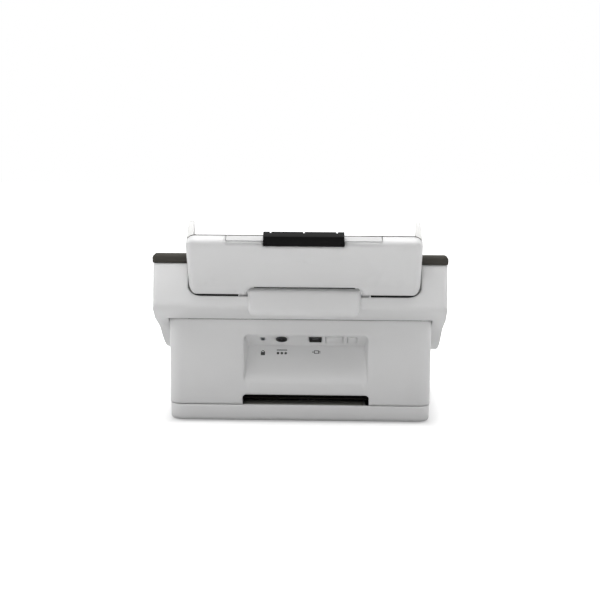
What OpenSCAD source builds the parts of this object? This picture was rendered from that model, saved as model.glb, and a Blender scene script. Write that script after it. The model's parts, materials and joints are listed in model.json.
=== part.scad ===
// Sheet fed document scanner standing on a desk, input tray open to the rear.
// X runs across the machine, the front faces -Y, Z is up, the floor is z = 0.

/* [Overall] */
// width of the upper body beside the tray, on each side
tower_side = 34; // [31:0.5:37]
// how far the lower body stands in below the upper body, on each side
side_step = 14; // [11.5:0.5:16.5]
// half depth of the base
base_half_d = 85; // [83:0.5:88]
// overhang of the top rear edge behind the lower rear wall
overhang = 12; // [10:0.5:14]
// forward lean of the rear shoulder, depth per height
lean = 0.2; // [0.12:0.01:0.26]
// thickness of the moulded walls
wall = 2.5; // [2:0.1:3]
// working gap between pieces that move past each other
gap = 1; // [0.8:0.1:1.4]
// seam gap between fixed pieces
seam = 0.3; // [0.2:0.05:0.5]
// paper path centre, off the middle of the body
path_x = -5; // [-8:0.5:0]

/* [Heights] */
// free height of the rubber feet below the base
foot_h = 1.5; // [1:0.1:2.5]
// seam between base and lower body
base_top = 19; // [17:0.5:21]
// crease where the upper body overhang starts
crease_z = 113; // [111:0.5:116]
// lower edge of the rear shoulder
shoulder_z = 129; // [126:0.5:132]
// height of the dark caps
cap_h = 9; // [8:0.5:10.5]
// top of the dark caps
top_z = 183; // [181:0.5:185]

/* [Input tray] */
// width of the input tray
tray_w = 242; // [230:1:256]
// length of the tray shell
tray_l = 71.5; // [69:0.5:74]
// thickness of the tray from outer skin to paper face
tray_t = 12; // [11:0.5:13.5]
// angle of the open tray above the horizontal
tray_tilt = 58; // [55:0.5:61]
// hinge axis behind the lower rear wall
hinge_dy = 9.5; // [8.5:0.25:10]
// height of the hinge axis
hinge_z = 140.2; // [139:0.2:141.4]
// hinge pin diameter
hinge_pin_d = 4; // [3:0.1:5]
// angle through which the tray folds shut
tray_fold = 104; // [100:1:106]
// travel of the tray extension
ext_travel = 36; // [20:1:38]
// travel of each paper side guide
guide_travel = 80; // [40:1:82]
// height of a paper side guide above the paper face
guide_h = 29; // [26:0.5:31]

/* [Rear scoop] */
// width of the connector scoop
scoop_w = 133; // [127:1:136]
// upper edge of the connector scoop
scoop_top = 96; // [94:0.5:98]
// lower edge of the connector scoop
scoop_bottom = 45.5; // [44:0.5:48]
// depth of the scoop
scoop_d = 24; // [21:0.5:26]
// height of the scoop floor crease
scoop_mid = 80; // [78:0.5:82]
// width of the rear slot
slot_w = 136; // [130:1:140]
// upper edge of the rear slot
slot_top = 30.5; // [28:0.5:31.5]

/* [Paper path] */
// radius of the curved paper path
path_r = 140; // [135:1:145]
// slope of the straight part of the path
path_slope = 20; // [18:0.5:22]
// height of the path gap between the guides
path_gap = 2.6; // [2:0.1:3.2]
// length of the straight part of the path
path_run = 94; // [91:1:96]
// pick roller radius
pick_r = 11; // [10:0.25:12]
// feed and exit roller radius
feed_r = 7; // [6.5:0.25:7.5]
// idler roller radius
idler_r = 5; // [4.5:0.25:5.5]
// roller shaft diameter
shaft_d = 6; // [5:0.1:7]
// radial running clearance of shafts and pins
run = 0.05; // [0.03:0.01:0.08]

/* [Hatch] */
// rear wall of the hatch
hatch_back = 6; // [4:0.5:7]
// front face of the hatch
front_y = -96; // [-99:0.5:-94]
// hatch hinge axis depth
hatch_hy = -80; // [-82:0.5:-78]
// hatch hinge axis height
hatch_hz = 68; // [66:0.5:70]
// button diameter
button_d = 11; // [9:0.25:13]
// travel of a button
button_travel = 0.8; // [0.5:0.1:1]

/* [Output tray] */
// width of the output tray
out_w = 228; // [220:1:232]
// travel of the output tray
out_travel = 85; // [60:1:95]
// travel of the output tray extension
out_ext_travel = 70; // [50:1:80]
// height of the paper stop when raised
stop_h = 22; // [16:0.5:26]

/* [Hidden] */
$fn = 64;
eps = 0.01;
back_y = base_half_d;
rear_y = back_y + overhang;
cap_z = top_z - cap_h;
half_w = tray_w / 2 + tower_side;
lower_half = half_w - side_step;
base_half = lower_half - 0.6;
base_front = -base_half_d;
lower_front = base_front + 3;
hinge_y = back_y + hinge_dy;
knuckle_r = 5.4;
tray_drop = 5.3;
tray_rise = 7;
tray_y0 = hinge_y + tray_drop * cos(tray_tilt) + tray_rise * sin(tray_tilt);
tray_z0 = hinge_z + tray_drop * sin(tray_tilt) - tray_rise * cos(tray_tilt);
valley_w = tray_w + 2 * gap + 1;
frame_l = path_x + valley_w / 2;
frame_r = path_x - valley_w / 2;
path_cy = tray_y0 - (path_r + tray_t) * sin(tray_tilt);
path_cz = tray_z0 + (path_r + tray_t) * cos(tray_tilt);
top_flat_y = 82;
top_drop = 0.213;
nose_y = -58;
nose_z = top_z - top_drop * (top_flat_y - nose_y);
wing_z = 56;

light = "#d9d9d8";
dark = "#4a4845";
black = "#1c1c1c";
steel = "#b8bcc0";

// points of an arc about c, from angle a0 to a1 in n steps
function arc(c, r, a0, a1, n = 8) =
    [for (i = [0:n]) c + r * [cos(a0 + (a1 - a0) * i / n), sin(a0 + (a1 - a0) * i / n)]];

// outline of a rectangle with rounded corners
function round_rect(x0, y0, x1, y1, r, n = 8) = concat(
    arc([x1 - r, y0 + r], r, -90, 0, n), arc([x1 - r, y1 - r], r, 0, 90, n),
    arc([x0 + r, y1 - r], r, 90, 180, n), arc([x0 + r, y0 + r], r, 180, 270, n));

// point of the paper path at an angle of its curve, raised above the path by off
function path_pt(a, off = 0) =
    [path_cy + (path_r - off) * sin(a), path_cz - (path_r - off) * cos(a)];

// point of the straight run, s along it from the end of the curve towards the exit
function run_pt(s, off = 0) = path_pt(path_slope, off) - s * [cos(path_slope), sin(path_slope)];

// solid with a Y-Z outline between two X planes
module side_prism(pts, x0, x1) {
    translate([x0, 0, 0])
        rotate([90, 0, 90])
            linear_extrude(x1 - x0)
                polygon(pts);
}

// solid with an X-Z outline between two Y planes
module rear_prism(pts, y0, y1) {
    translate([0, y1, 0])
        rotate([90, 0, 0])
            linear_extrude(y1 - y0)
                polygon(pts);
}

// solid with an X-Y outline between two heights
module plan_prism(pts, z0, z1) {
    translate([0, 0, z0])
        linear_extrude(z1 - z0)
            polygon(pts);
}

module block(x0, x1, y0, y1, z0, z1) {
    translate([x0, y0, z0])
        cube([x1 - x0, y1 - y0, z1 - z0]);
}

// round bar along X about a point of the Y-Z plane
module xrod(p, r, x0, x1) {
    translate([x0, p[0], p[1]])
        rotate([0, 90, 0])
            cylinder(r = r, h = x1 - x0);
}

// tray frame: x across, y up the tray from its lower edge, z from the outer skin to the paper
module on_tray() {
    translate([path_x, tray_y0, tray_z0])
        rotate([tray_tilt, 0, 0])
            children();
}

// path frame on the straight run: y back up the path, z above it
module on_run(s) {
    p = run_pt(s);
    translate([path_x, p[0], p[1]])
        rotate([path_slope, 0, 0])
            children();
}

// connector frame on the upper face of the scoop: y out along the face, z into the body
scoop_a = atan2(scoop_top - scoop_mid, scoop_d);
port_out = 3.5;
module on_ports(x) {
    translate([x, back_y - scoop_d / 2, (scoop_top + scoop_mid) / 2])
        rotate([scoop_a, 0, 0])
            translate([0, port_out, 0])
                children();
}

// Base

base_r = 15;
foot_r = 8;
foot_in = 20;
screw_in = 7;
screw_y = 34;
screw_r = 1.8;
screw_bite = 8;
slot_cut = 0.8;

module base_outline(inset) {
    polygon(round_rect(-base_half + inset, base_front + inset, base_half - inset,
        back_y - inset, base_r - inset));
}

// four corner feet and a pad under the middle
module at_feet() {
    children();
    for (x = [-base_half + foot_in, base_half - foot_in], y = [base_front + foot_in, back_y - foot_in])
        translate([x, y, 0])
            children();
}

module at_base_screws() {
    for (x = [-base_half + screw_in, base_half - screw_in], y = [base_front + screw_y, back_y - screw_y])
        translate([x, y, 0])
            children();
}

edge_r = 3;
module base_pan() {
    color(light)
    difference() {
        union() {
            translate([0, 0, foot_h + edge_r])
                linear_extrude(base_top - foot_h - edge_r)
                    base_outline(0);
            for (i = [1:4])
                translate([0, 0, foot_h + edge_r * (1 - sin(90 * i / 4))])
                    linear_extrude(edge_r)
                        base_outline(edge_r * (1 - cos(90 * i / 4)));
        }
        translate([0, 0, foot_h + wall])
            linear_extrude(base_top)
                base_outline(edge_r);
        at_feet()
            cylinder(r = foot_r + seam, h = foot_h + wall / 2);
        at_base_screws()
            cylinder(r = screw_r + run, h = base_top);
        at_base_screws()
            cylinder(r = 2 * screw_r, h = foot_h + wall / 2);
    }
    color(light)
    for (x = [-base_half / 2, 0, base_half / 2])
        block(x - wall / 2, x + wall / 2, base_front + edge_r - eps, back_y - edge_r + eps,
            foot_h + wall - eps, base_top - seam);
    color(light)
    at_base_screws()
        translate([0, 0, foot_h + wall - eps])
            difference() {
                cylinder(r = 2 * screw_r, h = base_top - foot_h - wall);
                translate([0, 0, -eps])
                    cylinder(r = screw_r + run, h = base_top);
            }
}

module rubber_feet() {
    color(black)
    at_feet()
        cylinder(r = foot_r, h = foot_h + wall / 2);
}

module base_screws() {
    color(steel)
    at_base_screws() {
        translate([0, 0, foot_h + seam])
            difference() {
                cylinder(r = 2 * screw_r - seam, h = wall / 2 - seam);
                for (a = [0, 90])
                    rotate([0, 0, a])
                        translate([-screw_r, -slot_cut / 2, -eps])
                            cube([2 * screw_r, slot_cut, slot_cut]);
            }
        translate([0, 0, foot_h + wall / 2 - eps])
            cylinder(r = screw_r, h = base_top + screw_bite - foot_h - wall / 2);
    }
}

// Housing

lower_r = 15;
scoop_x = path_x - 1.5;
screw_boss = wall + seam - frame_r;
lower_top = [[back_y + 1, crease_z - seam], [back_y, crease_z - seam], [50, crease_z - 6],
    [-35, wing_z + 12], [base_front - 1, wing_z + 10], [base_front - 1, 0], [back_y + 1, 0]];

module lower_solid(inset, z0) {
    intersection() {
        plan_prism(round_rect(-lower_half + inset, lower_front + inset, lower_half - inset,
            back_y - inset, lower_r - inset), z0, crease_z);
        side_prism(lower_top, -half_w, half_w);
    }
}

// notch of the connector scoop, grown inwards by t for its wall: its sides draw in with depth,
// and its sloping panel rolls into the rear wall
scoop_draft = 3.5;
scoop_soft = 10;
scoop_r = 6;
panel_a = atan2(scoop_d, scoop_mid - scoop_bottom);
scoop_low = scoop_bottom - scoop_soft * tan(panel_a / 2);
module scoop_notch(t) {
    pts = concat([[back_y + t + eps, scoop_top + t], [back_y - scoop_d - t, scoop_mid + t * 0.6],
        [back_y - scoop_d - t, scoop_mid - t * 0.6]],
        arc([back_y - scoop_soft, scoop_low], scoop_soft - t, panel_a, 0, 8),
        [[back_y + t + eps, scoop_low]]);
    rear = round_rect(scoop_x - scoop_w / 2 - t, scoop_low - t, scoop_x + scoop_w / 2 + t,
        scoop_top + t, scoop_r + t);
    side = scoop_w / 2 + t;
    intersection() {
        side_prism(pts, scoop_x - side, scoop_x + side);
        rear_prism(rear, back_y - scoop_d - 2 * t, back_y + 2 * t + 1);
        plan_prism([[scoop_x - side, back_y + 2 * t + 1], [scoop_x + side, back_y + 2 * t + 1],
            [scoop_x + side - scoop_draft, back_y - scoop_d - 2 * t],
            [scoop_x - side + scoop_draft, back_y - scoop_d - 2 * t]], 0, crease_z);
    }
}

jack_x = scoop_x + 26.3;
data_x = scoop_x - 10;
lock_x = scoop_x + 46.6;
blank_wide_x = scoop_x - 30.5;
blank_small_x = scoop_x - 49.6;
jack_r = 5.9;
port_w = 13;
port_h = 11.4;
lock_w = 4;
lock_h = 7;
blank_h = 15.6;
blank_in = 2;
blank_wide = 18;
blank_small = 9.6;

module port_holes() {
    on_ports(jack_x)
        cylinder(r = jack_r + seam, h = 4 * wall, center = true);
    on_ports(data_x)
        cube([port_w + 2 * seam, port_h + 2 * seam, 4 * wall], center = true);
    on_ports(lock_x)
        cube([lock_w + 2 * seam, lock_h + 2 * seam, 4 * wall], center = true);
    on_ports(blank_wide_x)
        translate([0, -blank_in, 0])
            cube([blank_wide + 2 * seam, blank_h + 2 * seam, wall], center = true);
    on_ports(blank_small_x)
        translate([0, -blank_in, 0])
            cube([blank_small + 2 * seam, blank_h + 2 * seam, wall], center = true);
}

module lower_housing() {
    color(light)
    difference() {
        union() {
            difference() {
                lower_solid(0, base_top + seam);
                lower_solid(wall, base_top);
            }
            intersection() {
                scoop_notch(wall);
                lower_solid(0, base_top + seam);
            }
            for (s = [-1, 1], y = [lower_front + screw_y, back_y - screw_y])
                block(min(s * screw_boss, s * (lower_half - eps)),
                    max(s * screw_boss, s * (lower_half - eps)), y - 3 * screw_r - 1, y + 3 * screw_r,
                    base_top + seam, base_top + screw_bite + wall);
        }
        scoop_notch(0);
        port_holes();
        rear_prism(concat(arc([scoop_x + slot_w / 2 - 4, slot_top - 4], 4, 0, 90),
            arc([scoop_x - slot_w / 2 + 4, slot_top - 4], 4, 90, 180),
            [[scoop_x - slot_w / 2, 0], [scoop_x + slot_w / 2, 0]]), back_y - 2 * wall, back_y + 1);
        block(frame_r, frame_l, base_front - 1, hatch_hy + 2 * lower_r, 0, crease_z);
        xrod([hatch_hy, hatch_hz], hinge_pin_d, frame_r - 2 * wall, frame_l + 2 * wall);
        at_base_screws()
            cylinder(r = screw_r, h = base_top + screw_bite);
    }
}

// outline of the upper body from the side, drawn inwards by t
edge_fillet = 9;
lean_a = atan(lean);
face_low = [rear_y + lean * (cap_z - shoulder_z), shoulder_z];
under_a = atan2(shoulder_z - crease_z, face_low[0] - back_y) - 90;
face_n = [cos(lean_a), sin(lean_a)];
under_n = [cos(under_a), sin(under_a)];
fillet_c = face_low - edge_fillet * (face_n + under_n) / (1 + face_n * under_n);
function face_y(z) = rear_y + lean * (cap_z - z);
function wing_low(t) = concat(arc(fillet_c, edge_fillet - t, lean_a, under_a, 8),
    [[back_y - t, crease_z + t], [50, 98 + t], [38, 90 + t], [26, 81.5 + t], [12, 73 + t],
    [-6, 65.5 + t], [-33, 58.5 + t], [-60, wing_z + t]]);
nose_r = 44;
nose_c = [front_y + nose_r, nose_z - 46];
nose_a = 118;
function wing_front(t) = concat(arc([front_y + 14, wing_z + 14], 14 - t, 270, 180),
    arc(nose_c, nose_r - t, 180, nose_a));
function wing(t, z_top) = concat(wing_low(t), wing_front(t),
    [[nose_y, nose_z - z_top - t], [top_flat_y, cap_z - t], [rear_y - t, cap_z - t]]);
shoulder_r = 6;
boss_w = 119;
boss_d = 6;
boss_r = 8;
boss_foot_r = 13;
boss_side_r = 13;
boss_top = hinge_z + 9.6;
boss_low = crease_z + 5.4;
valley_z = hinge_z - 7.5;

// slope of the lower wall of the tray's notch, falling inwards so that its edge stays thin
notch_a = 12;

// rounds the upright edges of the upper body, the rear ones along the leaning face
module edge_round(inset, r) {
    intersection() {
        translate([0, rear_y, cap_z])
            rotate([lean_a, 0, 0])
                plan_prism(round_rect(-half_w + inset, -4 * rear_y, half_w - inset, -inset, r),
                    -2 * top_z, top_z);
        plan_prism(round_rect(-half_w + inset, front_y + inset, half_w - inset, 4 * rear_y, r),
            0, top_z + 1);
    }
}

// pillow that carries the tray hinge, soft on all its rear edges
boss_pts = concat(arc([hinge_y, hinge_z], knuckle_r + 1, tray_tilt + tray_fold + 18, 110, 6),
    arc([face_y(boss_top) + boss_d - boss_r, boss_top - boss_r], boss_r, 95, lean_a),
    arc([face_y(boss_low) + boss_d - 1.4 * boss_r, boss_low + boss_r], boss_r, lean_a, -80),
    [[back_y + 8, boss_low - 0.8], [back_y + 8, boss_low + boss_r],
    [hinge_y - knuckle_r - 1, hinge_z - 12]]);

module hinge_boss() {
    translate([path_x, 0, 0])
        intersection() {
            side_prism(boss_pts, -boss_w / 2, boss_w / 2);
            rear_prism(concat(
                arc([boss_w / 2 - boss_foot_r, boss_low - 1 + boss_foot_r], boss_foot_r, -90, 0),
                arc([boss_w / 2 - boss_r, boss_top + 1 - boss_r], boss_r, 0, 90),
                arc([-boss_w / 2 + boss_r, boss_top + 1 - boss_r], boss_r, 90, 180),
                arc([-boss_w / 2 + boss_foot_r, boss_low - 1 + boss_foot_r], boss_foot_r, 180, 270)),
                0, 2 * rear_y);
            plan_prism(round_rect(-boss_w / 2, 0, boss_w / 2, face_y(boss_low) + boss_d, boss_side_r),
                0, top_z);
        }
}

module upper_housing() {
    color(light)
    difference() {
        union() {
            difference() {
                intersection() {
                    side_prism(wing(0, cap_h), -half_w, half_w);
                    edge_round(0, shoulder_r);
                }
                intersection() {
                    side_prism(wing(wall, cap_h - 2 * wall), -half_w + wall, half_w - wall);
                    edge_round(wall, shoulder_r - wall);
                }
                side_prism([[rear_y - 3 * wall, cap_z - 3 * wall], [top_flat_y, cap_z - 3 * wall],
                    [nose_y + 2 * wall, nose_z - cap_h - 3 * wall], [nose_y + 2 * wall, top_z],
                    [rear_y - 3 * wall, top_z]], -half_w + 2 * wall, half_w - 2 * wall);
                block(frame_r, frame_l, front_y - 1, hinge_y + knuckle_r, valley_z, top_z + 1);
                block(frame_r, frame_l, front_y - 1, back_y - 4 * wall, 0, top_z + 1);
                translate([path_x, tray_y0, tray_z0])
                    rotate([notch_a, 0, 0])
                        rear_prism([for (p = round_rect(-valley_w / 2, -gap, valley_w / 2, 3 * tray_l,
                            low_r + gap)) [p[0], p[1] * sin(tray_tilt - notch_a)]], -4 * tray_t, 2 * tray_t);
                for (s = [-1, 1])
                    on_tray()
                        translate([s * (boss_w + knuckle_w + 2 * gap) / 2 - knuckle_w / 2 - gap,
                            -tray_drop - knuckle_r - gap, tray_rise - knuckle_r - gap])
                            cube([knuckle_w + 2 * gap, tray_drop + knuckle_r + gap, 2 * knuckle_r]);
                plan_prism(round_rect(-lower_half - seam, lower_front - seam, lower_half + seam,
                    back_y - wall + eps, lower_r - wall), 0, crease_z + wall + 20);
            }
            hinge_boss();
        }
        xrod([hinge_y, hinge_z], hinge_pin_d / 2, path_x - boss_w, path_x + boss_w);
        side_prism([for (p = lower_top) p + [0, seam]], -lower_half - seam, lower_half + seam);
    }
}

// Dark caps on the two side towers

cap_r = 4.5;
cap_lap = 0.8;
cap_tip = nose_c + nose_r * [cos(nose_a), sin(nose_a)] + [1, 2 * seam];
cap_pts = [[rear_y + cap_lap, cap_z + seam], [rear_y + cap_lap, top_z - 3], [rear_y, top_z - 1],
    [rear_y - 2, top_z], [top_flat_y, top_z], [nose_y, nose_z], [nose_y - 10, nose_z - 3.4],
    cap_tip + [-1, 1], cap_tip, [nose_y, nose_z - cap_h + seam],
    [top_flat_y, cap_z + seam]];

// outline of a cap from behind, its outer upper edge rounded, below a top line at height 0
function cap_outline(x_in, x_out, s) = concat([[x_in, -top_z], [x_out, -top_z]],
    [for (p = arc([0, 0], cap_r, 0, 90)) [x_out - s * (cap_r - p[0]), p[1] - cap_r]], [[x_in, 0]]);

module cap(x_in, x_out, s) {
    intersection() {
        side_prism(cap_pts, min(x_in, x_out), max(x_in, x_out));
        union() {
            translate([0, 0, top_z])
                rear_prism(cap_outline(x_in, x_out, s), top_flat_y - eps, 2 * rear_y);
            translate([0, top_flat_y, top_z])
                rotate([atan(top_drop), 0, 0])
                    rear_prism(cap_outline(x_in, x_out, s), -2 * rear_y, 1);
        }
        plan_prism(round_rect(-half_w - cap_lap, front_y, half_w + cap_lap, rear_y + cap_lap,
            shoulder_r), 0, 2 * top_z);
    }
}

tower_w = half_w + frame_r;
latch_x = frame_r - 0.46 * tower_w;
latch_w = 0.42 * tower_w;
latch_l = 22;
latch_travel = 4;
latch_y = -4;
latch_top = top_z - top_drop * (top_flat_y - latch_y - latch_travel / 2);

module cap_left() {
    color(dark)
    cap(frame_l, half_w + cap_lap, 1);
}

module cap_right() {
    color(dark)
    difference() {
        cap(frame_r, -half_w - cap_lap, -1);
        translate([latch_x, latch_y + latch_travel / 2, latch_top])
            rotate([atan(top_drop), 0, 0])
                cube([latch_w - 2, latch_l, 4 * cap_h], center = true);
    }
}

// Drive positions

pick_a = 28;
feed_s = 4;
exit_s = 70;
nip = 0.15;
pick_c = path_pt(pick_a, -pick_r - nip);
feed_c = run_pt(feed_s, -feed_r - nip);
exit_c = run_pt(exit_s, -feed_r - nip);
sep_r = 6.5;
sep_c = path_pt(pick_a, sep_r + nip);
feed_i = run_pt(feed_s, idler_r + nip);
exit_i = run_pt(exit_s, idler_r + nip);
bush_r = shaft_d / 2 + 2;
gear_m = 1;
pinion_n = 12;
gear_n = 40;
mesh_d = gear_m * (pinion_n + gear_n) / 2;
motor_c = feed_c - [0, mesh_d];
gear_x = frame_l + wall + 2;
gear_w = 5;
belt_w = 3.2;
pick_belt_x = gear_x + gear_w + 1.6;
exit_belt_x = pick_belt_x + belt_w + 1.5;
pulley_r = 7;
belt_t = 1.2;

// Side frames

frame_pts = [[lower_front + 8, base_top + seam], [back_y - wall - gap, base_top + seam],
    [back_y - wall - gap, crease_z + 6], [face_low[0] - 3 * wall, shoulder_z + 4],
    [rear_y - 2 * wall, cap_z - 2 * wall], [rear_y - 3 * wall - seam, cap_z - 2 * wall],
    [rear_y - 3 * wall - seam, cap_z - seam], [top_flat_y, cap_z - seam],
    [nose_y, nose_z - cap_h - seam], [front_y + 22, nose_z - 26], [front_y + 6, nose_z - 50],
    [front_y + 6, wing_z + 18], [lower_front + 8, wing_z + 8]];

module side_frame(x) {
    difference() {
        side_prism(frame_pts, x, x + wall);
        for (c = [pick_c, feed_c, exit_c])
            xrod(c, bush_r, x - 1, x + wall + 1);
        xrod([hatch_hy, hatch_hz], hinge_pin_d / 2 + run, x - 1, x + wall + 1);
        xrod(motor_c, shaft_d, x - 1, x + wall + 1);
    }
}

module side_frame_left() {
    color(dark)
    side_frame(frame_l);
}

module side_frame_right() {
    color(dark)
    difference() {
        side_frame(frame_r - wall);
        block(frame_r - 2 * wall, frame_r + wall, latch_y - latch_l / 2 - 2 * latch_travel,
            latch_y + latch_l / 2, latch_top - 32, latch_top - 20);
    }
}

module bushes() {
    color(steel)
    for (c = [pick_c, feed_c, exit_c], x = [frame_l, frame_r - wall])
        difference() {
            union() {
                xrod(c, bush_r - run / 2, x, x + wall);
                xrod(c, bush_r + 1.2, x > 0 ? x + wall : x - 1, x > 0 ? x + wall + 1 : x);
            }
            xrod(c, shaft_d / 2 + run, x - 2, x + wall + 2);
        }
}

channel_z = slot_top + 2;
channel_t = 2;
channel_front = base_front + 36;
board_z = channel_z + channel_t + 4;
board_t = 1.6;
module channel_plate() {
    color(dark)
    difference() {
        union() {
            block(frame_r, frame_l, channel_front, back_y - wall - seam, channel_z,
                channel_z + channel_t);
            for (x = [frame_r + 25, path_x, frame_l - 25], y = [0, back_y - 22])
                translate([x, y, channel_z])
                    cylinder(r = 3, h = board_z - channel_z);
            for (x = [frame_r + 3, frame_l - 5])
                block(x, x + 2, channel_front, back_y - wall - seam, base_top + seam, channel_z + eps);
        }
        for (x = [frame_r + 12:18:frame_l - 12])
            block(x - 5, x + 5, -30, -8, channel_z - 1, channel_z + 2 * channel_t);
    }
}

module main_board() {
    color("#1f5a34")
    difference() {
        block(frame_r + 16, frame_l - 16, -12, back_y - 14, board_z, board_z + board_t);
        for (x = [frame_r + 25, path_x, frame_l - 25], y = [0, back_y - 22])
            translate([x, y, board_z - 1])
                cylinder(r = 1.6, h = board_t + 2);
    }
    color(black) {
        block(path_x - 30, path_x - 8, 8, 30, board_z + board_t - eps, board_z + board_t + 2);
        block(path_x + 20, path_x + 34, 12, 24, board_z + board_t - eps, board_z + board_t + 2);
        block(path_x - 70, path_x - 56, 20, 42, board_z + board_t - eps, board_z + board_t + 5);
    }
}

// Lower paper guide and scan bar

guide_t = 2;
low_off = -path_gap / 2;
guide_top_a = 51;
upper_top_a = 33;
low_scan_s = 25;
up_scan_s = 47;
scan_w = valley_w - 25;
glass_y = 12;
bar_y = 18;
bar_h = 13;
tyre_w = 16;
tyre_x = [-80, -30, 30, 80];
pick_w = 22;
pick_x = [-15, 15];

function guide_line(off, a0) = concat(
    [for (i = [0:10]) path_pt(a0 + (path_slope - a0) * i / 10, off)], [run_pt(path_run, off)]);
function guide_pts(off0, off1, a0) = concat(guide_line(off0, a0),
    [for (i = [11:-1:0]) guide_line(off1, a0)[i]]);

module lower_guide() {
    color(dark)
    difference() {
        side_prism(guide_pts(low_off, low_off - guide_t, guide_top_a), frame_r, frame_l);
        for (x = pick_x)
            xrod(pick_c, pick_r + gap, path_x + x - pick_w / 2 - gap, path_x + x + pick_w / 2 + gap);
        for (c = [feed_c, exit_c], x = tyre_x)
            xrod(c, feed_r + gap, path_x + x - tyre_w / 2 - gap, path_x + x + tyre_w / 2 + gap);
        on_run(low_scan_s)
            cube([scan_w + 2 * seam, glass_y + 2 * seam, 4 * path_gap], center = true);
    }
}

module scan_glass(z) {
    translate([0, 0, z])
        cube([scan_w, glass_y, guide_t], center = true);
}

// scan bar below z = 0, with a light slot along its face
module scan_bar() {
    difference() {
        translate([-scan_w / 2 - 6, -bar_y / 2, -bar_h])
            cube([scan_w + 12, bar_y, bar_h]);
        translate([-scan_w / 2 + 4, -glass_y / 3, -bar_h / 2])
            cube([scan_w - 8, 2 * glass_y / 3, bar_h]);
        for (x = [-1, 1])
            translate([x * (scan_w / 2 + 3), 0, -bar_h - 1])
                cylinder(r = 1.5, h = bar_h + 2);
    }
}

module lower_scan_bar() {
    color(black)
    on_run(low_scan_s)
        translate([0, 0, low_off - guide_t])
            scan_bar();
}

module lower_scan_glass() {
    color("#cfe6e4")
    on_run(low_scan_s)
        scan_glass(low_off - guide_t / 2);
}

// Connectors behind the scoop

io_y = 6.8;
io_l = 18;
module io_board() {
    color("#1f5a34")
    on_ports(scoop_x)
        translate([-scoop_w / 2 + 4, io_y, wall])
            cube([scoop_w - 8, board_t, io_l]);
}

module power_jack() {
    color(black)
    on_ports(jack_x)
        difference() {
            union() {
                translate([0, 0, -wall / 2])
                    cylinder(r = jack_r, h = 3 * wall);
                translate([-jack_r - 1, -jack_r, wall])
                    cube([2 * jack_r + 2, jack_r + io_y, io_l - wall]);
            }
            translate([0, 0, -wall])
                cylinder(r = jack_r - 1.4, h = io_l - wall);
        }
    color(steel)
    on_ports(jack_x)
        translate([0, 0, -wall / 4])
            cylinder(r = 1, h = io_l - wall);
}

module data_port() {
    color(steel)
    on_ports(data_x)
        difference() {
            union() {
                translate([-port_w / 2, -port_h / 2, -wall / 2])
                    cube([port_w, port_h, 3 * wall]);
                translate([-port_w / 2, -port_h / 2, wall + eps])
                    cube([port_w, port_h / 2 + io_y, io_l - wall]);
            }
            translate([-port_w / 2 + 0.8, -port_h / 2 + 0.8, -wall])
                cube([port_w - 1.6, port_h - 1.6, io_l - wall]);
        }
    color(black)
    on_ports(data_x)
        translate([-port_w / 4, -port_h / 5, 0])
            cube([port_w / 2, 2 * port_h / 5, io_l - wall]);
}

module lock_insert() {
    color(steel)
    on_ports(lock_x)
        difference() {
            union() {
                translate([-lock_w / 2, -lock_h / 2, -wall / 4])
                    cube([lock_w, lock_h, wall]);
                translate([-lock_w, -lock_h / 2 - wall, wall + seam])
                    cube([2 * lock_w, lock_h + 2 * wall, wall]);
                translate([-lock_w / 2, -lock_h / 2, 0])
                    cube([lock_w, lock_h, wall + 1]);
            }
            cube([lock_w - 1, lock_h - 1, 4 * io_l], center = true);
        }
}

module port_blanks() {
    color(light) {
        on_ports(blank_wide_x)
            translate([-blank_wide / 2, -blank_in - blank_h / 2, -wall / 4])
                cube([blank_wide, blank_h, 3 * wall / 4]);
        on_ports(blank_small_x)
            translate([-blank_small / 2, -blank_in - blank_h / 2, -wall / 4])
                cube([blank_small, blank_h, 3 * wall / 4]);
    }
}

// Drive

motor_r = 15;
motor_l = 24;
motor_shaft_r = 1.5;
module motor() {
    color(steel)
    difference() {
        union() {
            xrod(motor_c, motor_r, frame_l - motor_l - 1, frame_l - 1);
            xrod(motor_c, shaft_d - 0.5, frame_l - 2, frame_l + wall);
            side_prism(concat(arc(motor_c + [20, 0], 5, -90, 90), arc(motor_c - [20, 0], 5, 90, 270)),
                frame_l - 1.5, frame_l);
        }
        xrod(motor_c, motor_shaft_r + run, frame_l - motor_l / 2, frame_l + 2 * wall);
    }
}

// outline of a spur gear with n straight sided teeth
function gear_pts(n, m, turn) = [for (i = [0:n - 1], k = [0:3])
    let (r = (k == 0 || k == 3) ? m * n / 2 - 1.1 * m : m * n / 2 + 0.75 * m,
        w = (k == 0 || k == 3) ? 0.27 : 0.1,
        a = turn + 360 / n * (i + (k < 2 ? -w : w)))
    r * [cos(a), sin(a)]];

module gear_at(c, n, turn, x0, x1) {
    translate([x0, c[0], c[1]])
        rotate([90, 0, 90])
            linear_extrude(x1 - x0)
                polygon(gear_pts(n, gear_m, turn));
}

module motor_pinion() {
    color("#d8d0b0")
    union() {
        gear_at(motor_c, pinion_n, 90 + 180 / pinion_n, gear_x - 0.5, gear_x + gear_w + 0.5);
        xrod(motor_c, motor_shaft_r, frame_l - motor_l / 2 + 1, gear_x + gear_w);
    }
}

module pulley(c, x, w) {
    xrod(c, pulley_r, x, x + w);
    for (e = [x - 0.6, x + w - 0.1])
        xrod(c, pulley_r + 1.6, e, e + 0.7);
}

module drive_gear() {
    color("#d8d0b0")
    difference() {
        union() {
            gear_at(feed_c, gear_n, 270, gear_x, gear_x + gear_w);
            pulley(feed_c, pick_belt_x, belt_w);
            pulley(feed_c, exit_belt_x, belt_w);
            xrod(feed_c, pulley_r, gear_x, exit_belt_x + belt_w);
        }
        xrod(feed_c, shaft_d / 2, gear_x - 1, exit_belt_x + 2 * belt_w);
    }
}

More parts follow.
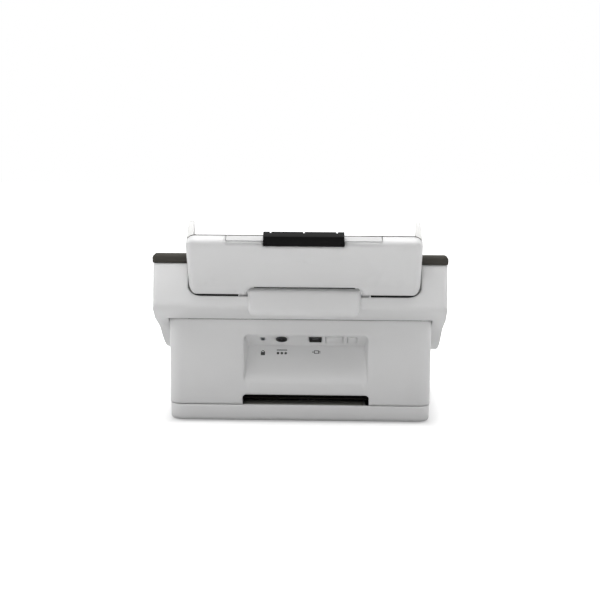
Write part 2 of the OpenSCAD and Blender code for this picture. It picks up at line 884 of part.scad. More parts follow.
// closed belt around two equal pulleys
module belt(c0, c1, x) {
    a = atan2(c1[1] - c0[1], c1[0] - c0[0]);
    r = pulley_r + seam;
    difference() {
        side_prism(concat(arc(c1, r + belt_t, a - 90, a + 90, 24),
            arc(c0, r + belt_t, a + 90, a + 270, 24)), x + seam, x + belt_w - seam);
        side_prism(concat(arc(c1, r, a - 90, a + 90, 24), arc(c0, r, a + 90, a + 270, 24)),
            x, x + belt_w);
    }
}

module pick_belt() {
    color(black)
    belt(feed_c, pick_c, pick_belt_x);
}

module exit_belt() {
    color(black)
    belt(exit_c, feed_c, exit_belt_x);
}

shaft_r0 = frame_r - wall - 3;
module pick_shaft() {
    color(steel)
    xrod(pick_c, shaft_d / 2, shaft_r0, pick_belt_x + belt_w + 1);
    color("#d8d0b0")
    difference() {
        pulley(pick_c, pick_belt_x, belt_w);
        xrod(pick_c, shaft_d / 2 - eps, pick_belt_x - 2, pick_belt_x + 2 * belt_w);
    }
}

module tyres(c, r, xs, w) {
    for (x = xs)
        difference() {
            xrod(c, r, path_x + x - w / 2, path_x + x + w / 2);
            xrod(c, shaft_d / 2, path_x + x - w, path_x + x + w);
        }
}

module pick_tyre() {
    color(black)
    tyres(pick_c, pick_r, pick_x, pick_w);
}

module feed_shaft() {
    color(steel)
    xrod(feed_c, shaft_d / 2, shaft_r0, exit_belt_x + belt_w + 1);
}

module feed_tyres() {
    color(black)
    tyres(feed_c, feed_r, tyre_x, tyre_w);
}

module exit_shaft() {
    color(steel)
    xrod(exit_c, shaft_d / 2, shaft_r0, exit_belt_x + belt_w + 1);
    color("#d8d0b0")
    difference() {
        pulley(exit_c, exit_belt_x, belt_w);
        xrod(exit_c, shaft_d / 2 - eps, exit_belt_x - 2, exit_belt_x + 2 * belt_w);
    }
}

module exit_tyres() {
    color(black)
    tyres(exit_c, feed_r, tyre_x, tyre_w);
}

// Hatch, hinged at its lower front edge

hatch_r = frame_r + gap;
hatch_l = frame_l - gap;
panel_t = 3;
up_off = path_gap / 2;
apron_end = path_pt(upper_top_a, up_off + 5);
apron_z = 132;
function top_line(y) = top_z - top_drop * (top_flat_y - y);
function hatch_front(t) = concat(arc([front_y + 44, nose_z - 46], 44 - t, 118, 180),
    arc([front_y + 8, hatch_hz + 1], 8 - t, 180, 270, 6));
function hatch_pts(t, low) = concat(
    [[hatch_back - t, top_line(hatch_back) - panel_t - seam], [nose_y, nose_z - panel_t - seam]],
    hatch_front(t), [run_pt(path_run - 2, low)], [run_pt(0, low)],
    [path_pt(upper_top_a, low), apron_end + [0, -t], [hatch_back - t, apron_z - t]]);

module hatch_shell() {
    color(light)
    difference() {
        side_prism(hatch_pts(0, up_off), hatch_r, hatch_l);
        side_prism(concat([[hatch_back - wall, top_z], [nose_y + 2 * wall, top_z],
            [nose_y + 2 * wall, top_line(nose_y) - panel_t - wall],
            [nose_y, nose_z - panel_t - wall - seam]],
            hatch_front(wall),
            [[front_y + 8, 0], run_pt(path_run - 2, -feed_r), run_pt(0, -feed_r),
            path_pt(upper_top_a + 2, -feed_r), path_pt(upper_top_a + 2, up_off + guide_t + seam),
            path_pt(upper_top_a - 1.5, up_off + guide_t + seam), apron_end + [-4, 2.2 - wall],
            [hatch_back - wall, apron_z - wall]]), hatch_r + wall, hatch_l - wall);
        for (c = [feed_i, exit_i, sep_c])
            xrod(c, idler_pin_r + run, hatch_r - 1, hatch_l + 1);
        xrod([hatch_hy, hatch_hz], hinge_pin_d / 2 + fit, hatch_r - 1, hatch_l + 1);
    }
}

fit = 0.02;
idler_pin_r = 1.5;

// panel frame: z out of the sloping panel
module on_panel(x, y) {
    translate([x, y, top_line(y)])
        rotate([atan(top_drop), 0, 0])
            children();
}

button_x = [hatch_l - 20, hatch_l - 42, hatch_l - 64, hatch_l - 86];
button_y = -24;
lens_x = [hatch_l - 20, hatch_l - 42, hatch_l - 64];
lens_y = -4;
lens_w = 8;
lens_l = 2;

module control_panel() {
    color(dark)
    difference() {
        side_prism([[hatch_back, top_line(hatch_back)], [nose_y, nose_z], [nose_y, nose_z - panel_t],
            [hatch_back, top_line(hatch_back) - panel_t]], hatch_r, hatch_l);
        for (x = button_x)
            on_panel(x, button_y)
                cylinder(r = button_d / 2 + seam, h = 4 * panel_t, center = true);
        for (x = lens_x)
            on_panel(x, lens_y)
                cube([lens_w + 2 * fit, lens_l + 2 * fit, 4 * panel_t], center = true);
    }
}

module button(i) {
    on_panel(button_x[i], button_y) {
        translate([0, 0, -panel_t - seam])
            cylinder(r = button_d / 2, h = panel_t + seam + button_travel + 0.4);
        translate([0, 0, -panel_t - seam - 1.2])
            cylinder(r = button_d / 2 + 1.2, h = 1.2);
    }
}

module power_button() {
    color(light)
    button(0);
}

module scan_button() {
    color(light)
    button(1);
}

module copy_button() {
    color(light)
    button(2);
}

module stop_button() {
    color(light)
    button(3);
}

module status_lens() {
    color("#9fd8b0")
    for (x = lens_x)
        on_panel(x, lens_y)
            translate([-lens_w / 2, -lens_l / 2, -panel_t])
                cube([lens_w, lens_l, panel_t]);
}

module upper_guide() {
    color(dark)
    difference() {
        side_prism(guide_pts(up_off, up_off + guide_t, upper_top_a), hatch_r + wall, hatch_l - wall);
        for (x = pick_x)
            xrod(sep_c, sep_r + gap, path_x + x - pick_w / 2 - gap, path_x + x + pick_w / 2 + gap);
        for (c = [feed_i, exit_i], x = tyre_x)
            xrod(c, idler_r + gap, path_x + x - tyre_w / 2 - gap, path_x + x + tyre_w / 2 + gap);
        on_run(up_scan_s)
            cube([scan_w + 2 * seam, glass_y + 2 * seam, 4 * path_gap], center = true);
    }
}

module upper_scan_bar() {
    color(black)
    on_run(up_scan_s)
        translate([0, 0, up_off + guide_t])
            mirror([0, 0, 1])
                scan_bar();
}

module upper_scan_glass() {
    color("#cfe6e4")
    on_run(up_scan_s)
        scan_glass(up_off + guide_t / 2);
}

cover_w = 64;
cover_t = 1.6;
module separation_cover() {
    color(dark)
    side_prism([for (k = [0.1, 0.9]) apron_end * (1 - k) + [hatch_back, apron_z] * k,
        for (k = [0.86, 0.14]) apron_end * (1 - k) + [hatch_back, apron_z] * k + cover_t * [0.5, 0.87]],
        path_x - cover_w / 2, path_x + cover_w / 2);
}

module hatch_pins() {
    color(steel)
    for (x = [hatch_r - gap - wall, hatch_l - wall - 1])
        xrod([hatch_hy, hatch_hz], hinge_pin_d / 2, x, x + gap + 2 * wall + 1);
}

module idler(c, r, xs, w) {
    xrod(c, idler_pin_r, hatch_r + 0.5, hatch_l - 0.5);
    for (x = xs)
        xrod(c, r, path_x + x - w / 2, path_x + x + w / 2);
}

module separation_roller() {
    color(black)
    idler(sep_c, sep_r, pick_x, pick_w);
}

module feed_idlers() {
    color(light)
    idler(feed_i, idler_r, tyre_x, tyre_w);
}

module exit_idlers() {
    color(light)
    idler(exit_i, idler_r, tyre_x, tyre_w);
}

// sliding thumb piece in the right cap, its hook reaching through the frame
module release_latch() {
    color(black)
    translate([latch_x, latch_y + latch_travel / 2, latch_top])
        rotate([atan(top_drop), 0, 0]) {
            translate([-latch_w / 2 - 1, -latch_l / 2 + 2, seam])
                cube([latch_w + 2, latch_l - latch_travel - 4, 1.6]);
            for (k = [0:3])
                translate([-latch_w / 2, -latch_l / 2 + 4 + 3 * k, 1.6])
                    cube([latch_w, 1.2, 1]);
            translate([-latch_w / 2 + 2, -latch_l / 2 + 4, -28])
                cube([latch_w - 4, latch_l - latch_travel - 8, 28.5]);
            translate([-latch_w / 2 + 2, -latch_l / 2 + 4, -28])
                cube([frame_r - latch_x + latch_w / 2 - wall, 5, 5]);
        }
}

// Input tray, in the tray frame

tray_half = tray_w / 2;
skin = 2.2;
plate_t = 1.5;
plate_z = tray_t - plate_t;
cut_w = boss_w + 2 * gap;
cut_d = 12;
cut_r = 8.5;
cut_lip = 2.5;
low_r = 13;
tip_r = 10;
skin_r = 7;
lip_r = 3.5;
knuckle_w = 8;
dot_in = 6;
grip_w = 82;
bar_w = 158;
bar_l = 1.8;
bar_low = 1.8;
slit = 0.6;
post_r = 2.5;
pinion_y = 46;
pinion_m = 1;
pinion_teeth = 12;
pinion_r = pinion_m * pinion_teeth / 2;
rack_z = plate_z - seam - 3;
rack_t = 3;
rack_w = 4;
fin_t = 6.5;
fin_taper = 12;
fin_draw = 1.5;
fin_x = tray_half - fin_t - 1.2;
fin_y0 = 28;
fin_y1 = tray_l - 0.5;

// outline of the tray in its own plane, with the cut-out around the hinge boss
tray_outline = concat(arc([tray_half - low_r, low_r], low_r, -90, 0),
    arc([tray_half - tip_r, tray_l - tip_r], tip_r, 0, 90),
    arc([-tray_half + tip_r, tray_l - tip_r], tip_r, 90, 180),
    arc([-tray_half + low_r, low_r], low_r, 180, 270),
    arc([-cut_w / 2 - cut_lip, cut_lip], cut_lip, -90, 0, 4),
    arc([-cut_w / 2 + cut_r, cut_d - cut_r], cut_r, 180, 90),
    arc([cut_w / 2 - cut_r, cut_d - cut_r], cut_r, 90, 0),
    arc([cut_w / 2 + cut_lip, cut_lip], cut_lip, 180, 270, 4));

// outlines of the shell from the side and from its end, drawn inwards by t
function tray_side(t) = concat([[t, plate_z]], arc([lip_r, lip_r], lip_r - t, 180, 270, 5),
    arc([tray_l - lip_r, lip_r], lip_r - t, 270, 360, 5), [[tray_l - t, plate_z]]);
function tray_end(t) = concat([[-tray_half + t, plate_z]],
    arc([-tray_half + skin_r, skin_r], skin_r - t, 180, 270),
    arc([tray_half - skin_r, skin_r], skin_r - t, 270, 360), [[tray_half - t, plate_z]]);

module tray_solid() {
    intersection() {
        linear_extrude(tray_t)
            polygon(tray_outline);
        side_prism(tray_side(0), -tray_half, tray_half);
        rear_prism(tray_end(0), 0, tray_l);
    }
}

module tray_shell() {
    color(light)
    on_tray()
        difference() {
            union() {
                difference() {
                    tray_solid();
                    intersection() {
                        rear_prism(tray_end(skin), cut_d + skin, tray_l - tip_r / 2);
                        translate([0, 0, eps])
                            linear_extrude(tray_t)
                                polygon(round_rect(-tray_half + skin, cut_d + skin, tray_half - skin,
                                    tray_l - skin, tip_r - skin));
                    }
                }
                for (s = [-1, 1])
                    translate([s * (boss_w / 2 + gap + knuckle_w / 2), 0, 0]) {
                        translate([-knuckle_w / 2, -tray_drop, tray_rise])
                            rotate([0, 90, 0])
                                cylinder(r = knuckle_r, h = knuckle_w);
                        translate([-knuckle_w / 2, -tray_drop, tray_rise - knuckle_r])
                            cube([knuckle_w, tray_drop + cut_d + skin, knuckle_r]);
                    }
                translate([0, pinion_y, 0])
                    cylinder(r = post_r, h = rack_z + rack_t);
                for (x = [-1, 1], y = tray_screw_y)
                    translate([x * screw_x, y, 0])
                        cylinder(r = 4, h = plate_z);
            }
            translate([-tray_half, -tray_drop, tray_rise])
                rotate([0, 90, 0])
                    cylinder(r = hinge_pin_d / 2 + run, h = tray_w);
            for (s = [-1, 1])
                translate([s * (cut_w / 2 + 2 * dot_in), dot_in, -1])
                    cylinder(r = 0.8, h = skin);
            translate([-bar_w / 2 - slit, tray_l - bar_l - 2 - slit, bar_low])
                cube([bar_w + 2 * slit, 2 * bar_l + 4, tray_t]);
            translate([-bar_w / 2, tray_l - tip_r, ext_z - slit])
                cube([bar_w, tip_r, ext_t + 2 * slit]);
            translate([-grip_w / 2 - slit, tray_l - grip_l - slit, -1])
                cube([grip_w + 2 * slit, 2 * grip_l, tray_t]);
            for (x = [-1, 1], y = tray_screw_y)
                translate([x * screw_x, y, skin])
                    cylinder(r = tray_screw_r + run, h = tray_t);
        }
}

screw_x = 98;
tray_screw_y = [cut_d + 7, tray_l - 6.5];
tray_screw_r = 1.4;
grip_l = 5;
rail_d = pinion_r + 1.1 * pinion_m + 1.9;
rail_y = [pinion_y + rail_d, pinion_y - rail_d];
module tray_plate() {
    color(dark)
    on_tray()
        difference() {
            translate([0, 0, plate_z])
                linear_extrude(plate_t)
                    polygon(round_rect(-tray_half, cut_d - 2, tray_half, tray_l, tip_r));
            for (i = [0, 1])
                translate([i == 0 ? fin_x - guide_travel - 4 : -fin_x - fin_t - 0.5, rail_y[i] - 2.5,
                    plate_z - 1])
                    cube([guide_travel + fin_t + 4.5, 5, 2 * tray_t]);
            for (x = [-1, 1], y = tray_screw_y)
                translate([x * screw_x, y, plate_z - 1])
                    cylinder(r = tray_screw_r + run, h = 2 * plate_t);
            for (x = [-1, 1], y = tray_screw_y)
                translate([x * screw_x, y, tray_t - 1])
                    cylinder(r = 2 * tray_screw_r + seam, h = plate_t);
        }
}

module tray_screws() {
    color(steel)
    on_tray()
        for (x = [-1, 1], y = tray_screw_y)
            translate([x * screw_x, y, 0]) {
                translate([0, 0, skin + 1])
                    cylinder(r = tray_screw_r, h = tray_t - skin - 1.5);
                translate([0, 0, tray_t - 1])
                    cylinder(r = 2 * tray_screw_r, h = 0.8);
            }
}

// teeth of a rack along x, pointing to -y from its back edge at y = 0
function rack_pts(n, m, w) = concat([[0, 0]], [for (i = [0:n - 1], k = [0:3])
    [PI * m * (i + [0.23, 0.4, 0.6, 0.77][k]), (k == 0 || k == 3) ? -w : -w - 1.85 * m]],
    [[PI * m * n, -w], [PI * m * n, 0]]);
rack_lead = 4;
rack_n = floor((fin_x + 4) / (PI * pinion_m)) + rack_lead;
rack_root = pinion_r + 1.1 * pinion_m;

// upright fin of the guide on the +x side, with its foot on the paper face
module guide_fin() {
    translate([fin_x, fin_y0, tray_t + seam]) {
        intersection() {
            rotate([90, 0, 90])
                linear_extrude(fin_t)
                    polygon(concat([[0, 0], [fin_y1 - fin_y0 - 3, 0]],
                        arc([fin_y1 - fin_y0 - 8, guide_h - 8], 8, 0, 90),
                        arc([10, guide_h - 10], 10, 90, 180)));
            rear_prism([[0, 0], [fin_t, 0], [fin_t, fin_taper], [fin_t - fin_draw, guide_h],
                [fin_draw, guide_h], [0, fin_taper]], -1, fin_y1);
        }
        translate([-14, 3, 0])
            cube([14 + eps, fin_y1 - fin_y0 - 9, 2]);
    }
}

// rack beside the pinion with the peg that joins it to its fin
module guide_rack() {
    translate([fin_x - 2, pinion_y + rail_d - 1.8, rack_z])
        cube([6, 3.6, tray_t + seam - rack_z + 1]);
    translate([-rack_lead * PI * pinion_m, pinion_y + rack_root + rack_w, rack_z])
        linear_extrude(rack_t)
            polygon(rack_pts(rack_n, pinion_m, rack_w - 0.2));
}

module guide_left() {
    color("#f2f2f0")
    on_tray() {
        guide_fin();
        guide_rack();
    }
}

module guide_right() {
    color("#f2f2f0")
    on_tray() {
        mirror([1, 0, 0])
            guide_fin();
        translate([0, 2 * pinion_y, 0])
            rotate([0, 0, 180])
                guide_rack();
    }
}

module guide_pinion() {
    color("#d8d0b0")
    on_tray()
        translate([0, pinion_y, rack_z])
            linear_extrude(rack_t)
                difference() {
                    polygon(gear_pts(pinion_teeth, pinion_m, 0));
                    circle(r = post_r + run);
                }
}

ext_z = skin + 0.8;
ext_t = 3;
module extension_plate() {
    color(light)
    on_tray()
        difference() {
            union() {
                translate([-bar_w / 2 + 4, cut_d + 4, ext_z])
                    cube([bar_w - 8, tray_l - cut_d - 4 - bar_l, ext_t]);
                side_prism([[tray_l - bar_l - 2, bar_low + slit], [tray_l + grip_hook, bar_low + slit],
                    [tray_l + grip_hook, plate_z - seam], [tray_l - bar_l - 2, plate_z - seam]],
                    -bar_w / 2, bar_w / 2);
            }
            translate([-post_r - gap, pinion_y - ext_travel - post_r - gap, -1])
                cube([2 * (post_r + gap), ext_travel + 2 * (post_r + gap), tray_t]);
            translate([-grip_w / 2 - fit, tray_l - grip_l - 1, -1])
                cube([grip_w + 2 * fit, grip_l + 1 + grip_hook, 1 + grip_t]);
            translate([-grip_w / 2 - fit, tray_l + grip_hook - eps, -1])
                cube([grip_w + 2 * fit, grip_l, tray_t]);
        }
}

// pull that hooks over the end of the tray, notched along its far edge
grip_t = 5;
grip_over = 7;
grip_hook = 0.2;
grip_d = tray_t - 3.4;
grip_pts = concat([[tray_l + grip_hook + fit, grip_t], [tray_l - grip_l, grip_t]],
    arc([tray_l - grip_l + 1, 0.2], 1, 180, 270, 4), arc([tray_l + grip_over - 1.6, 0.8], 1.6, 270, 360, 5),
    [[tray_l + grip_over, grip_d], [tray_l + grip_hook + fit, grip_d]]);
module extension_grip() {
    color(black)
    on_tray()
        difference() {
            side_prism(grip_pts, -grip_w / 2, grip_w / 2);
            for (x = [-0.82, 0, 0.82])
                translate([x * grip_w / 2 - 0.8, tray_l + grip_over - 2, grip_d - 2])
                    cube([1.6, 4, 4]);
            for (x = [-1, 1])
                translate([x * (grip_w / 2 - 2.4), tray_l - grip_l / 2 + 1, -2])
                    cylinder(r = 0.9, h = 2);
        }
}

module tray_pin() {
    color(steel)
    xrod([hinge_y, hinge_z], hinge_pin_d / 2 - fit, path_x - boss_w / 2 - gap - knuckle_w,
        path_x + boss_w / 2 + gap + knuckle_w);
}

// Output tray, nested in the base channel

out_half = out_w / 2;
out_z = base_top + seam;
out_front = base_front - 3;
out_keep = 61;
ext_keep = 52;
out_back = out_front + out_travel + out_keep;
ext_back = out_front + out_ext_travel + ext_keep;
out_t = 2;
lip_h = 10;
ext_half = 60;
stop_half = 26;
stop_r = 2.4;
stop_t = 2.4;
stop_y = out_front + 14;
ext_floor = out_z + out_t + 0.5;

module output_tray() {
    color(dark)
    difference() {
        union() {
            plan_prism([for (p = round_rect(-out_half, out_front, out_half, out_back, 8)) p + [path_x, 0]],
                out_z, out_z + out_t);
            block(path_x - out_half + 8, path_x + out_half - 8, out_front, out_front + 2.4, out_z,
                out_z + lip_h);
            for (s = [-1, 1])
                block(path_x + s * (ext_half + 4) - 1, path_x + s * (ext_half + 4) + 1, out_front + 2,
                    out_back - 8, out_z, ext_floor + 3);
        }
        block(path_x - ext_half - gap, path_x + ext_half + gap, out_front - 1, out_front + 3, out_z + out_t,
            out_z + 2 * lip_h);
        translate([path_x, out_front, out_z - 1])
            cylinder(r = 14, h = lip_h);
    }
}

module output_extension() {
    color(dark)
    difference() {
        block(path_x - ext_half, path_x + ext_half, out_front, ext_back, ext_floor, ext_floor + 3);
        translate([path_x, out_front, ext_floor - 1])
            cylinder(r = 9, h = lip_h);
        block(path_x - stop_half - gap, path_x + stop_half + gap, stop_y - stop_r - 0.6,
            stop_y + stop_h + gap, ext_floor - 1, ext_floor + lip_h);
        xrod([stop_y, ext_floor + 1.5], 1 + run, path_x - stop_half - 8, path_x + stop_half + 8);
    }
}

module paper_stop() {
    color(dark)
    union() {
        block(path_x - stop_half, path_x + stop_half, stop_y, stop_y + stop_h, ext_floor + 0.3,
            ext_floor + 0.3 + stop_t);
        xrod([stop_y, ext_floor + 1.5], 1.2, path_x - stop_half, path_x + stop_half);
        xrod([stop_y, ext_floor + 1.5], 1, path_x - stop_half - 6, path_x + stop_half + 6);
    }
}

base_pan();
rubber_feet();
lower_housing();
upper_housing();
cap_left();
cap_right();
side_frame_left();
side_frame_right();
channel_plate();
lower_guide();
lower_scan_bar();
lower_scan_glass();
main_board();
io_board();
power_jack();
data_port();
lock_insert();
port_blanks();
motor();
bushes();
base_screws();
tray_pin();
pick_belt();
exit_belt();
motor_pinion();
pick_shaft();
pick_tyre();
feed_shaft();
feed_tyres();
drive_gear();
exit_shaft();
exit_tyres();
hatch_shell();
control_panel();
upper_guide();
upper_scan_bar();
upper_scan_glass();
separation_cover();
hatch_pins();
status_lens();
separation_roller();
feed_idlers();
exit_idlers();
power_button();
scan_button();
copy_button();
stop_button();
tray_shell();
tray_plate();
tray_screws();
guide_left();
guide_right();
guide_pinion();
extension_plate();
extension_grip();
output_tray();
output_extension();
paper_stop();
release_latch();
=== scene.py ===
import json
import math

import bpy
from mathutils import Matrix, Vector


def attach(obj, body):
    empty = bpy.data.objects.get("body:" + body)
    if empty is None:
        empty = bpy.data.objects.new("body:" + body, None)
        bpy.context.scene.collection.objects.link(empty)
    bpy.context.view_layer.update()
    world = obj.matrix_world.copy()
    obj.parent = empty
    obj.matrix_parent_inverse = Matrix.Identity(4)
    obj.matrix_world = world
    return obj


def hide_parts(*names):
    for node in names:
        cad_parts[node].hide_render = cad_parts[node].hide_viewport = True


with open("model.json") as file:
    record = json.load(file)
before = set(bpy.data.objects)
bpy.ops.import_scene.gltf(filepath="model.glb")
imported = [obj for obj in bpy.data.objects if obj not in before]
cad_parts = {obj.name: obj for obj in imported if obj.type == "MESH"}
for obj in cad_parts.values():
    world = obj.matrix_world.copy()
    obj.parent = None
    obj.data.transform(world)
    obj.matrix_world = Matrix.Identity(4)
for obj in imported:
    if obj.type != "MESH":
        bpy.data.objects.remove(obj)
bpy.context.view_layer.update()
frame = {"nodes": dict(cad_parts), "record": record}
nodes = frame["nodes"]
slotOf = {p["node"]: p["material_slot"] for p in frame["record"]["subparts"]}
bodyOf = {n: b for b, group in frame["record"]["behaviour"]["bodies"].items() for n in group}
mm = 0.001
print("frame loaded:", len(nodes), "nodes")

# camera of the rear view: where it stands, what it looks at, its lens and its small roll
view = {"aim": (0.0, 85.0, 134.0), "distance": 1300.0, "pitch": 9.0, "side": -35.0,
        "lens": 73.4, "sensor": 36.0, "roll": 0.3}


def makeCamera(s):
    pitch = math.radians(s["pitch"])
    aim = Vector(s["aim"]) * mm
    place = Vector((s["side"] * mm, aim.y + s["distance"] * mm * math.cos(pitch),
                    aim.z + s["distance"] * mm * math.sin(pitch)))
    bpy.ops.object.camera_add(location=place)
    cam = bpy.context.object
    cam.name = "rearCamera"
    turn = (aim - place).to_track_quat("-Z", "Y").to_matrix().to_4x4()
    roll = Matrix.Rotation(math.radians(s["roll"]), 4, "Z")
    cam.matrix_world = Matrix.Translation(place) @ turn @ roll
    cam.data.lens = s["lens"]
    cam.data.sensor_width = s["sensor"]
    bpy.context.scene.camera = cam


makeCamera(view)
print("camera set")


# sRGB hex to linear, with full alpha
def hexColor(h):
    c = [int(h[i:i + 2], 16) / 255 for i in (0, 2, 4)]
    return tuple(x / 12.92 if x <= 0.04045 else ((x + 0.055) / 1.055) ** 2.4 for x in c) + (1.0,)


# adds a node, sets its inputs (by name or place) or its properties, and links sockets into it
def addNode(tree, kind, settings=None, links=None):
    node = tree.nodes.new(kind)
    for key, value in (settings or {}).items():
        if isinstance(key, int) or key in node.inputs:
            node.inputs[key].default_value = value
        else:
            setattr(node, key, value)
    for key, socket in (links or {}).items():
        tree.links.new(socket, node.inputs[key])
    return node


# an empty node tree in a new material
def newMaterial(name):
    mat = bpy.data.materials.new(name)
    mat.use_nodes = True
    mat.node_tree.nodes.clear()
    return mat, mat.node_tree


# rays that show the white of the room: straight from the camera, mirrored or through glass
def seenRays(tree):
    path = addNode(tree, "ShaderNodeLightPath")
    mirrored = addNode(tree, "ShaderNodeMath", {"operation": "MAXIMUM"},
                       {0: path.outputs["Is Camera Ray"], 1: path.outputs["Is Glossy Ray"]})
    through = addNode(tree, "ShaderNodeMath", {"operation": "MAXIMUM"},
                      {0: mirrored.outputs[0], 1: path.outputs["Is Transmission Ray"]})
    return through.outputs[0]


# moulded plastics: colour, gloss, grain of the tool's texture in mm, how deep it stands, how far the colour
# drifts, and the roll of soft edges in mm. The real grain is near 0.1 mm and is drawn coarser so that it shows.
plastics = {
    # satin housing that spreads the light, with edges that roll over
    "light_shell": {"name": "mouldedAbsLightGrey", "hex": "e0e0e0", "rough": 0.46,
                    "grain": 0.7, "depth": 0.10, "drift": 0.03, "roll": 3.0},
    # the same for the tray, whose rim rolls over further
    "light_tray": {"name": "mouldedAbsLightGreySoft", "hex": "e0e0e0", "rough": 0.46,
                   "grain": 0.7, "depth": 0.10, "drift": 0.03, "roll": 6.0},
    # a little smoother and greyer than the housing
    "light_extension": {"name": "smoothAbsLightGrey", "hex": "c6c6c6", "rough": 0.40,
                        "grain": 0.9, "depth": 0.05, "drift": 0.03},
    # clean off-white with a soft shine
    "white_guide": {"name": "smoothAbsOffWhite", "hex": "dadad8", "rough": 0.38,
                    "grain": 0.9, "depth": 0.04, "drift": 0.02},
    # dull warm grey, next to no reflection
    "dark_trim": {"name": "satinAbsWarmGrey", "hex": "464440", "rough": 0.7,
                  "grain": 0.6, "depth": 0.10, "drift": 0.05, "sheen": 0.05},
    # the dark inside of the paper path
    "dark_inner": {"name": "mouldedAbsNearBlack", "hex": "383736", "rough": 0.55,
                   "grain": 0.8, "depth": 0.14, "drift": 0.06},
    # deep black grip with a weak shine
    "black_gloss": {"name": "satinAbsBlack", "hex": "060606", "rough": 0.36,
                    "grain": 1.0, "depth": 0.03, "drift": 0.05, "sheen": 0.05},
    # flat black nylon
    "black_moulding": {"name": "matteNylonBlack", "hex": "1d1d1d", "rough": 0.6,
                       "grain": 0.7, "depth": 0.14, "drift": 0.06},
    # smooth keys, a little shinier than the panel
    "key_plastic": {"name": "satinAbsMidGrey", "hex": "c4c4c2", "rough": 0.36,
                    "grain": 0.6, "depth": 0.06, "drift": 0.03},
    # creamy and slightly waxy
    "gear_plastic": {"name": "naturalAcetal", "hex": "e6dfc6", "rough": 0.42,
                     "grain": 1.0, "depth": 0.05, "drift": 0.04},
    # ground rubber, dull and dusty; the same black also paints the shade in the gaps under the tray
    "rubber_black": {"name": "groundRubberBlackAndGapShade", "hex": "2a2a2a", "rough": 0.8,
                     "grain": 0.5, "depth": 0.30, "drift": 0.10},
    # flat dark grey ink
    "printInk": {"name": "padPrintedInkGrey", "hex": "363636", "rough": 0.5,
                 "grain": 0.4, "depth": 0.05, "drift": 0.06},
    # mid grey that only shows inside the slot
    "slot_grey": {"name": "mouldedAbsMidGrey", "hex": "a4a49e", "rough": 0.55,
                  "grain": 0.8, "depth": 0.12, "drift": 0.05},
    # green lacquer over copper
    "board": {"name": "solderMaskGreen", "hex": "1f5c38", "rough": 0.35,
              "grain": 1.4, "depth": 0.08, "drift": 0.12},
}
# what all plastics share: slow colour drift (14 patches to the metre, some 70 mm each), how far the gloss
# varies, height of the grain in mm, and the strength of the reflection where a plastic names none
mould = {"patches": 14.0, "glossSpread": 0.05, "height": 0.2, "ior": 1.5, "shine": 0.5, "rollSamples": 6}


def makePlastic(s):
    mat, tree = newMaterial(s["name"])
    coord = addNode(tree, "ShaderNodeTexCoord")
    grain = addNode(tree, "ShaderNodeTexNoise", {"Scale": 1000 / s["grain"], "Detail": 3.0, "Roughness": 0.6},
                    {"Vector": coord.outputs["Object"]})
    flow = addNode(tree, "ShaderNodeTexNoise", {"Scale": mould["patches"], "Detail": 2.0},
                   {"Vector": coord.outputs["Object"]})
    base = hexColor(s["hex"])
    low = tuple(c * (1 - s["drift"]) for c in base[:3]) + (1.0,)
    tint = addNode(tree, "ShaderNodeMix", {"data_type": "RGBA", 6: low, 7: base},
                   {"Factor": flow.outputs["Fac"]})
    gloss = addNode(tree, "ShaderNodeMapRange", {"To Min": s["rough"] - mould["glossSpread"],
                                                 "To Max": s["rough"] + mould["glossSpread"]},
                    {"Value": grain.outputs["Fac"]})
    bump = addNode(tree, "ShaderNodeBump", {"Strength": s["depth"], "Distance": mould["height"] * mm},
                   {"Height": grain.outputs["Fac"]})
    if "roll" in s:
        edge = addNode(tree, "ShaderNodeBevel", {"samples": mould["rollSamples"], "Radius": s["roll"] * mm})
        tree.links.new(edge.outputs["Normal"], bump.inputs["Normal"])
    shader = addNode(tree, "ShaderNodeBsdfPrincipled",
                     {"IOR": mould["ior"], "Specular IOR Level": s.get("sheen", mould["shine"])},
                     {"Base Color": tint.outputs[2], "Roughness": gloss.outputs["Result"],
                      "Normal": bump.outputs["Normal"]})
    addNode(tree, "ShaderNodeOutputMaterial", {}, {"Surface": shader.outputs["BSDF"]})
    return mat


# metals: colour, gloss and the spacing in mm of fine lines along the bar, which spread the highlight
metals = {
    "steel": {"name": "drawnSteel", "hex": "b9bcc0", "rough": 0.30, "lines": 0.3},
    "bronze": {"name": "sinteredBronze", "hex": "b08a4f", "rough": 0.48, "lines": 0.9},
}
# the lines run along x; how far they make the metal shinier or duller, and how they stand, height in mm
barLines = {"stretch": (0.05, 1.0, 1.0), "shinier": 0.08, "duller": 0.1, "strength": 0.08, "height": 0.1}


def makeMetal(s):
    mat, tree = newMaterial(s["name"])
    coord = addNode(tree, "ShaderNodeTexCoord")
    place = addNode(tree, "ShaderNodeMapping", {"Scale": barLines["stretch"]},
                    {"Vector": coord.outputs["Object"]})
    lines = addNode(tree, "ShaderNodeTexNoise", {"Scale": 1000 / s["lines"], "Detail": 2.0},
                    {"Vector": place.outputs["Vector"]})
    gloss = addNode(tree, "ShaderNodeMapRange", {"To Min": s["rough"] - barLines["shinier"],
                                                 "To Max": s["rough"] + barLines["duller"]},
                    {"Value": lines.outputs["Fac"]})
    bump = addNode(tree, "ShaderNodeBump", {"Strength": barLines["strength"],
                                            "Distance": barLines["height"] * mm},
                   {"Height": lines.outputs["Fac"]})
    shader = addNode(tree, "ShaderNodeBsdfPrincipled", {"Base Color": hexColor(s["hex"]), "Metallic": 1.0},
                     {"Roughness": gloss.outputs["Result"], "Normal": bump.outputs["Normal"]})
    addNode(tree, "ShaderNodeOutputMaterial", {}, {"Surface": shader.outputs["BSDF"]})
    return mat


